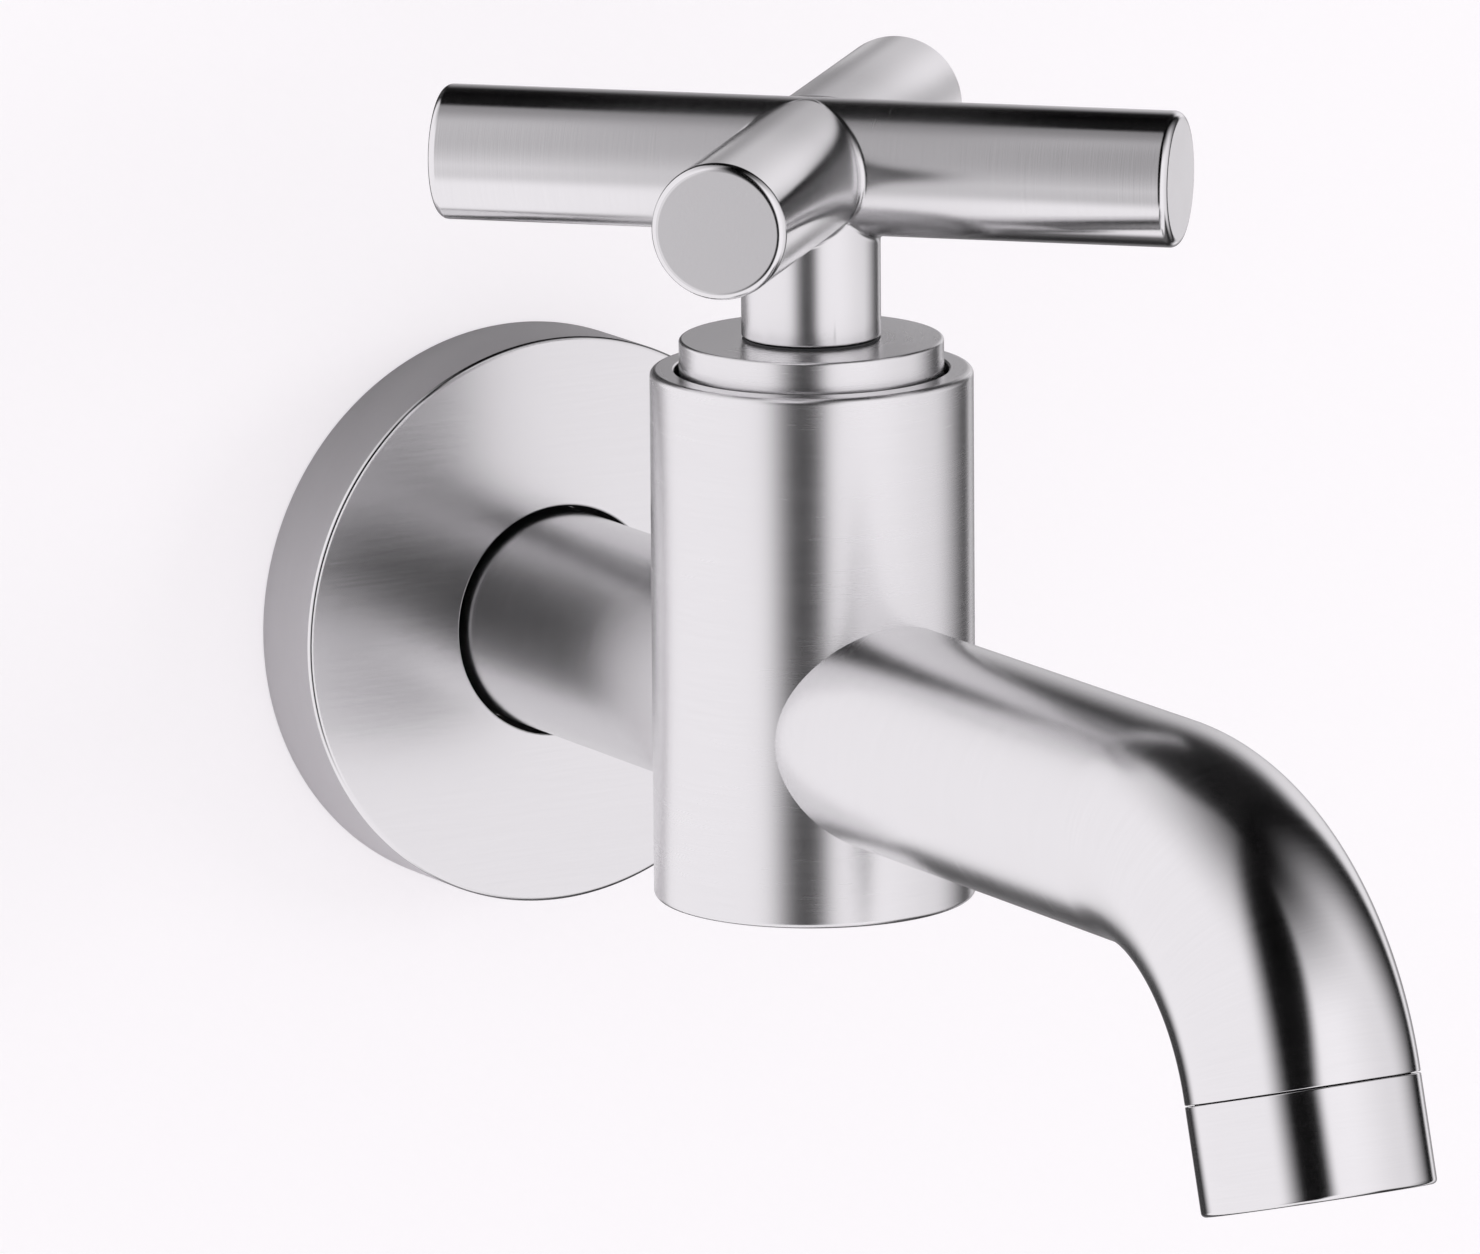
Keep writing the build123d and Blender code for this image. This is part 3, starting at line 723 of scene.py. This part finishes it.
def addBead(shell, origin, section, axis, side, up, spread):
    grain = shell.verts.layers.float_vector["grain"]
    shine = shell.verts.layers.float_vector["shine"]
    rings = []
    for step in range(bead["steps"] + 1):
        points, normals = section(axis, side, up, spread * (step / bead["steps"] - 0.5))
        rings.append([shell.verts.new((origin + point) * millimetre) for point in points])
        for index, (vertex, normal) in enumerate(zip(rings[-1], normals)):
            vertex[grain] = (index * bead["grainAcross"], 0.0, step * bead["grainAlong"])
            vertex[shine] = normal
    for low, high in zip(rings, rings[1:]):
        for index in range(len(low)):
            shell.faces.new((low[index - 1], low[index], high[index], high[index - 1]))
    if spread < math.pi:  # the ends don't run out to a point
        shell.faces.new(rings[0])
        shell.faces.new(reversed(rings[-1]))


def beadMesh():
    shell = bmesh.new()
    for layer in ("grain", "shine"):
        shell.verts.layers.float_vector.new(layer)
    for turn in (-90, 90):
        origin, up, side, axis = barPath(turn)(0)
        for way in (1, -1):
            addBead(shell, origin, armSection, axis, side * way, up, math.pi)
    for turn in (0, 90, 180, 270):
        origin, up, side, axis = barPath(turn)(0)
        addBead(shell, origin, stemSection, axis, side, up, math.pi / 2)
    bmesh.ops.remove_doubles(shell, verts=shell.verts, dist=bead["mergeDistance"])
    bmesh.ops.recalc_face_normals(shell, faces=shell.faces)
    mesh = bpy.data.meshes.new("rootBeads")
    shell.to_mesh(mesh)
    shell.free()
    mesh.shade_smooth()
    shines = [tuple(entry.vector) for entry in mesh.attributes["shine"].data]
    normals = []
    for face in mesh.polygons:
        onRoot = any(shines[vertex] == (0.0, 0.0, 0.0) for vertex in face.vertices)
        normals += [tuple(face.normal) if onRoot else shines[vertex] for vertex in face.vertices]
    mesh.attributes.remove(mesh.attributes["shine"])
    mesh.normals_split_custom_set(normals)
    return mesh


showPiece("rootBeads", beadMesh(), "handle", "brushed_steel", material=steelRod)


# The stem ends just above the glide ring, and its top follows the underside of both bars

stem = {"bore": 4.82, "boreTop": 51.0, "bottom": 40.4, "rounding": 0.25, "topRings": (5.0, 2.5, 0)}
grub = {"radius": 2.02, "height": 46.4, "depth": 9.0, "segments": 64}


def stemSaddle(x, y, along):
    if along < handle["height"]:
        return along
    angle = math.radians(handle["turn"])
    first = x * math.cos(angle) + y * math.sin(angle)
    second = y * math.cos(angle) - x * math.sin(angle)
    nearest = min(first ** 2, second ** 2)
    return handle["height"] - math.sqrt((handle["bar"] + handle["seam"]) ** 2 - nearest)


stemOutline = [
    (0, stem["boreTop"]),
    (stem["bore"], stem["boreTop"]),
    (stem["bore"], stem["bottom"]),
    (handle["stem"], stem["bottom"], stem["rounding"]),
    (handle["stem"], handle["height"]),
] + [(radius, handle["height"]) for radius in stem["topRings"]]
stemMesh = turnedMesh("stemTube", stemOutline, bodyPath, reshape=stemSaddle)
grubPath = straightPath((0, -tube["axisToBody"], grub["height"]), (0, 1, 0), (1, 0, 0))
grubOutline = [(0, 0), (grub["radius"], 0), (grub["radius"], grub["depth"]), (0, grub["depth"])]
grubHole = turnedMesh("grubHole", grubOutline, grubPath, grub["segments"])
showPiece("stemTube", cutMesh(stemMesh, grubHole), "handle", "brushed_steel", "handle_stem")
print("handle made")


# The rose slides along the inlet

rose = {
    "radius": 31.2, "rim": 29.4, "rimRound": 0.3, "floor": -8.7, "face": -10.5, "faceRound": 0.55,
    "boss": 16.0, "bossEnd": -2.4, "bossRound": 0.2, "bore": 12.6, "boreRound": 0.25,
    "groove": 14.35, "grooveFrom": -3.9, "grooveTo": -6.3, "segments": 256,
}
roseOutline = [
    (rose["rim"], 0),
    (rose["rim"], rose["floor"], rose["rimRound"]),
    (rose["boss"], rose["floor"]),
    (rose["boss"], rose["bossEnd"], rose["bossRound"]),
    (rose["bore"], rose["bossEnd"]),
    (rose["bore"], rose["grooveFrom"]),
    (rose["groove"], rose["grooveFrom"]),
    (rose["groove"], rose["grooveTo"]),
    (rose["bore"], rose["grooveTo"]),
    (rose["bore"], rose["face"], rose["boreRound"]),
    (rose["radius"], rose["face"], rose["faceRound"]),
    (rose["radius"], 0, rose["rimRound"]),
]
roseMesh = turnedMesh("wallRose", roseOutline, wallPath, rose["segments"])
showPiece("wallRose", roseMesh, "rose", "brushed_steel", "rose", steelFine, steelFace)
print("rose made")


# The aerator's outlet is a plate with a honeycomb of jets

grille = {
    "radius": 8.53, "pitch": 2.3429, "jet": 0.9464, "top": 9.7, "bottom": 10.9, "rings": 3, "lip": 0.18,
    "segments": 192, "sharpAngle": 30,
}


def jetPlaces(recipe, pitch, rings):
    # a square grid with two of its corners left out, slanted into a hexagon
    rows, span = rings * 2 + 1, rings * 2 * pitch
    values = {"Size X": span, "Size Y": span, "Vertices X": rows, "Vertices Y": rows}
    grid = recipe.add("GeometryNodeMeshGrid", {}, values)
    x, y, _ = recipe.split(recipe.add("GeometryNodeInputPosition"))
    outside = (x + y).maths("ABSOLUTE").maths("GREATER_THAN", (rings + 0.5) * pitch)
    values = {"Geometry": grid, "Selection": outside}
    points = recipe.add("GeometryNodeDeleteGeometry", {"domain": "POINT"}, values)
    slanted = recipe.vector(x + y * 0.5, y * math.cos(math.pi / 6), 0.0)
    return recipe.add("GeometryNodeSetPosition", {}, {"Geometry": points, "Position": slanted})


def honeycomb():
    recipe = Recipe("honeycomb", {
        "Pitch": grille["pitch"] * millimetre,
        "Jet radius": grille["jet"] / math.cos(math.pi / 6) * millimetre,
        "Plate radius": grille["radius"] * millimetre,
        "Thickness": (grille["bottom"] - grille["top"]) * millimetre,
        "Lip": grille["lip"] * millimetre,
        "Rings": grille["rings"],
    })
    thickness, lip = recipe.given("Thickness"), recipe.given("Lip")
    radius = recipe.given("Jet radius")
    points = jetPlaces(recipe, recipe.given("Pitch"), recipe.given("Rings"))
    hexagon = {"Vertices": 6, "Radius": radius, "Depth": thickness * 3}  # right through the plate
    jet = recipe.add("GeometryNodeMeshCylinder", {}, hexagon)
    flare = {"Vertices": 6, "Radius Top": radius + lip * 2, "Radius Bottom": radius, "Depth": lip * 2}
    mouth = recipe.add("GeometryNodeMeshCone", {}, flare)
    mouth = recipe.moved(mouth, recipe.vector(z=thickness * 0.5 - lip))
    disc = {"Vertices": grille["segments"], "Radius": recipe.given("Plate radius"), "Depth": thickness}
    plate = recipe.add("GeometryNodeMeshCylinder", {}, disc)
    for shape in (jet, mouth):
        values = {"Points": points, "Instance": shape, "Rotation": (0, 0, math.pi / 6)}
        cutter = recipe.realized(recipe.add("GeometryNodeInstanceOnPoints", {}, values))
        settings = {"operation": "DIFFERENCE", "solver": "EXACT"}
        plate = recipe.add("GeometryNodeMeshBoolean", settings, {0: plate, 1: cutter})
    return recipe.made(plate, slotMaterials["white_plastic"])


grilleMesh = honeycomb()
grilleCentre, *grilleAxes = outletPath((grille["top"] + grille["bottom"]) / 2)
facing = Matrix(grilleAxes).transposed().to_4x4()
grilleMesh.transform(Matrix.Translation(grilleCentre * millimetre) @ facing)
grilleMesh.set_sharp_from_angle(angle=math.radians(grille["sharpAngle"]))
showPiece("jetGrille", grilleMesh, "tap", "white_plastic", "aerator_grille")
print("grille made")


# Hidden pieces keep their CAD shape in merged copies with a smooth finish

merging = {"distance": 1e-7, "sharpAngle": 28}
slotOf = {part["node"]: part["material_slot"] for part in frame["record"]["subparts"]}
hiddenNodes = {
    "tap": ["outlet_bush", "aerator_washer", "aerator_insert", "aerator_filter", "headwork_body",
            "headwork_seal", "seat_washer", "lower_disc"],
    "handle": ["spline_adaptor", "grub_screw", "spindle", "spindle_seals", "circlip", "thrust_washer",
               "upper_disc"],
    "rose": ["rose_ring"],
}


def mergedCopy(node):
    merged = bmesh.new()
    merged.from_mesh(cadNodes[node].data)
    bmesh.ops.remove_doubles(merged, verts=merged.verts, dist=merging["distance"])
    mesh = bpy.data.meshes.new(node + "Shown")
    merged.to_mesh(mesh)
    merged.free()
    mesh.transform(cadNodes[node].matrix_world)
    mesh.shade_smooth()
    mesh.set_sharp_from_angle(angle=math.radians(merging["sharpAngle"]))
    return mesh


for node, piece in cadNodes.items():
    piece.data.materials.clear()
    piece.data.materials.append(slotMaterials[slotOf[node]])
for body, nodes in hiddenNodes.items():
    for node in nodes:
        showPiece(node + "Shown", mergedCopy(node), body, slotOf[node], node)
print("hidden pieces finished")


# The studio as the metal sees it: soft bright panels round the tap, placed by azimuth and elevation

def fade(value, span):
    # span is from where to where the value goes, and what it becomes there if that isn't 0 and 1
    return value.tree.ramp(value, *span)


leftPanel = {
    "start": (0.02, 0.36), "end": (-72, -45, 1.0, 0.0), "height": (30, 102, 1.07, 0.0),
    "tiltRise": 12, "tilt": 0.16, "tiltLess": 4, "high": (50, 70), "highShift": 0.25,
    "low": (-30, -18, 0.2, 0.0),
}


def leftLight(x, z, azimuth, elevation):
    tilt = (elevation + leftPanel["tiltRise"]).maths("ABSOLUTE") * leftPanel["tilt"]
    sideways = (0 - x).maths("DIVIDE", (1 - z * z).maths("SQRT"))  # 1 straight to the left
    sideways = sideways - fade(elevation, leftPanel["high"]) * leftPanel["highShift"]
    sideways = sideways + fade(elevation, leftPanel["low"])
    end = fade(azimuth + (tilt - leftPanel["tiltLess"]), leftPanel["end"])
    across = fade(sideways, leftPanel["start"]) * end
    return across * fade(elevation, leftPanel["height"])


horizon = (-8, -1)  # the elevations between which both panels on the right change
rightPanel = {
    "start": (-27, -13), "startTilt": 0.15, "startLean": (10, 60), "startShift": 7,
    "end": (61, 107, 1.0, 0.0), "endTilt": 0.2, "endShift": 7,
    "tone": (5, 65, 1.125, 0.93), "height": (28, 76, 1.0, 0.0),
}


def rightLight(azimuth, elevation):
    lean = fade(elevation, rightPanel["startLean"]) * rightPanel["startShift"]
    start = fade(azimuth - elevation * rightPanel["startTilt"] - lean, rightPanel["start"])
    shift = fade(elevation, horizon) * rightPanel["endShift"]
    end = fade(azimuth + elevation * rightPanel["endTilt"] - shift, rightPanel["end"])
    return start * end * fade(azimuth, rightPanel["tone"]) * fade(elevation, rightPanel["height"])


behindPanel = {
    "start": (113, 121), "end": (152, 166, 1.0, 0.0), "endLean": (0, 10), "endShift": 8,
    "low": (123, 130), "lowLoss": 0.62, "tone": (120, 152, 0.98, 0.62), "height": (14, 36, 1.0, 0.01),
}


def behindLight(azimuth, elevation):
    shift = fade(elevation, behindPanel["endLean"]) * behindPanel["endShift"]
    end = fade(azimuth + shift, behindPanel["end"])
    low = (1 - fade(elevation, horizon)) * fade(azimuth, behindPanel["low"]) * behindPanel["lowLoss"]
    across = fade(azimuth, behindPanel["start"]) * (end * (1 - low))
    return across * fade(azimuth, behindPanel["tone"]) * fade(elevation, behindPanel["height"])


ground = {
    "below": (-46, -28, 1.0, 0.0), "turn": 2, "tone": (0.1, 0.6, 1.07, 0.03),
    "under": (-86, -78, 0.1, 1.0), "rim": (-66, -52, 0.1, 0.0),
}
wallGlow = {"tone": (150, 170, 0.004, 0.05), "height": (35, 50, 1.0, 0.15)}


def groundLight(x, y, elevation):
    near = fade(y + x * ground["turn"], ground["tone"]) * fade(elevation, ground["under"])
    return near + fade(elevation, ground["rim"]) * (1 - near)


def panelLight(tree, direction):
    # how bright a direction is, where azimuth 0 is straight out of the wall and 90 to the right
    x, y, z = tree.split(direction)
    azimuth = x.maths("ARCTAN2", 0 - y) * math.degrees(1)
    elevation = z.maths("ARCSINE") * math.degrees(1)
    left = leftLight(x, z, azimuth, elevation)
    right = behindLight(azimuth, elevation).maths("MAXIMUM", rightLight(azimuth, elevation))
    wall = fade(azimuth, wallGlow["tone"]) * fade(elevation, wallGlow["height"])
    below = fade(elevation, ground["below"])
    lower = groundLight(x, y, elevation).maths("MAXIMUM", left)
    return (right + left + wall) * (1 - below) + below * lower


studio = {
    "tints": (1.01, 0.982, 1.012), "diffuse": (0.8, 0.8, 0.8, 1), "seen": (0.965, 0.939, 0.965, 1),
}


def studioWorld():
    world = bpy.data.worlds.new("studio")
    scene.world = world
    world.use_nodes = True
    world.cycles.sampling_method = "NONE"
    world.node_tree.nodes.clear()
    tree = Tree(world.node_tree)
    level = panelLight(tree, tree.add("ShaderNodeTexCoord", output="Generated"))
    tinted = {channel: level * tint for channel, tint in enumerate(studio["tints"])}
    panelColour = tree.add("ShaderNodeCombineColor", {}, tinted)
    diffuse = tree.add("ShaderNodeLightPath", output="Is Diffuse Ray")
    camera = tree.add("ShaderNodeLightPath", output="Is Camera Ray")
    colour = tree.blendColours(diffuse, panelColour, studio["diffuse"])
    colour = tree.blendColours(camera, colour, studio["seen"])
    background = tree.add("ShaderNodeBackground", {}, {"Color": colour, "Strength": 1.0})
    tree.add("ShaderNodeOutputWorld", {}, {"Surface": background})


# The wall and the floor are seen from the front alone, and metal sees the wall only near the rose, with
# painted shade above the rose

# low is the wall's colour below the rose and high the painted shadow above it, as metal and bounced
# light see the wall
plaster = {
    "paintedShadeFrom": -0.005, "paintedShadeTo": 0.068, "low": (0.90, 0.87, 0.90, 1), "high": (0.10, 0.097, 0.10, 1),
    "shade": (0.40, 0.40, 0.40, 1), "glow": (0.642, 0.614, 0.642, 1),
    "clearFrom": 0.036, "clearTo": 0.052, "holeRadius": 0.0270, "holeEdge": 0.0275,
}


def plasterMaterial():
    material, tree = newMaterial("plaster")
    camera = tree.add("ShaderNodeLightPath", output="Is Camera Ray")
    glossy = tree.add("ShaderNodeLightPath", output="Is Glossy Ray")
    backSide = tree.add("ShaderNodeNewGeometry", output="Backfacing")
    place = tree.place()
    # painted shade: for every ray but the camera's the wall gets darker towards the top, standing in
    # for the tap's shadow on it
    paintedShade = tree.ramp(tree.split(place)[2], plaster["paintedShadeFrom"], plaster["paintedShadeTo"])
    paintedShade = tree.blendColours(paintedShade, plaster["low"], plaster["high"])
    lit = tree.add("ShaderNodeBsdfDiffuse", {}, {"Color": paintedShade})
    shade = tree.add("ShaderNodeBsdfDiffuse", {}, {"Color": plaster["shade"]})
    glow = tree.add("ShaderNodeEmission", {}, {"Color": plaster["glow"], "Strength": 1.0})
    seen = tree.add("ShaderNodeAddShader", {}, {0: shade, 1: glow})
    front = tree.add("ShaderNodeMixShader", {}, {0: camera, 1: lit, 2: seen})
    distance = tree.add("ShaderNodeVectorMath", {"operation": "LENGTH"}, {0: place}, "Value")
    far = tree.ramp(distance, plaster["clearFrom"], plaster["clearTo"])
    opening = tree.ramp(distance, plaster["holeRadius"], plaster["holeEdge"], 1.0, 0.0)
    hole = (1 - camera) * opening  # round the nipple, for every ray but the camera's
    hidden = hole.maths("MAXIMUM", backSide.maths("MAXIMUM", glossy * far))
    clear = tree.add("ShaderNodeBsdfTransparent")
    oneSided = tree.add("ShaderNodeMixShader", {}, {0: hidden, 1: front, 2: clear})
    tree.add("ShaderNodeOutputMaterial", {}, {"Surface": oneSided})
    return material


stage = {"half": 0.9, "wallBehind": 0.0002, "wallHeight": 0.3, "floorHeight": -0.6}


def stagePlane(name, material, centre, first, second):
    across, upward = Vector(first) * stage["half"], Vector(second) * stage["half"]
    corners = [Vector(centre) + across * right + upward * up
               for right, up in ((-1, -1), (1, -1), (1, 1), (-1, 1))]
    mesh = bpy.data.meshes.new(name)
    mesh.from_pydata(corners, [], [(0, 1, 2, 3)])
    plane = bpy.data.objects.new(name, mesh)
    scene.collection.objects.link(plane)
    mesh.materials.append(material)


studioWorld()
stageMaterial = plasterMaterial()
stagePlane("wall", stageMaterial, (0, stage["wallBehind"], stage["wallHeight"]), (1, 0, 0), (0, 0, 1))
stagePlane("floor", stageMaterial, (0, -stage["half"], stage["floorHeight"]), (1, 0, 0), (0, 1, 0))


# Key light and camera

key = {"diameter": 1.0, "power": 10.0, "place": Vector((2.0, -1.2, 0.35))}
view = {  # azimuth 0 would look along +Y
    "azimuth": -30.573, "elevation": 12.209, "roll": -0.448, "place": (-0.792199, -1.389790, 0.343193),
    "sensorWidth": 36.0, "lens": 364.314,
}

lamp = bpy.data.lights.new("key", "AREA")
lamp.shape = "DISK"
lamp.size = key["diameter"]
lamp.energy = key["power"]
keyLight = bpy.data.objects.new("key", lamp)
scene.collection.objects.link(keyLight)
aimed = key["place"].to_track_quat("Z", "Y").to_matrix().to_4x4()  # it shines at the frame's origin
keyLight.matrix_world = Matrix.Translation(key["place"]) @ aimed
keyLight.visible_camera = False
keyLight.visible_glossy = False

cameraData = bpy.data.cameras.new("camera")
cameraData.sensor_width = view["sensorWidth"]
cameraData.lens = view["lens"]
camera = bpy.data.objects.new("camera", cameraData)
scene.collection.objects.link(camera)
swung = Matrix.Rotation(math.radians(view["azimuth"]), 4, "Z")
tipped = Matrix.Rotation(math.radians(90 - view["elevation"]), 4, "X")
rolled = Matrix.Rotation(math.radians(view["roll"]), 4, "Z")
camera.matrix_world = Matrix.Translation(view["place"]) @ swung @ tipped @ rolled
scene.camera = camera
scene.view_settings.view_transform = "Standard"
print("studio made")
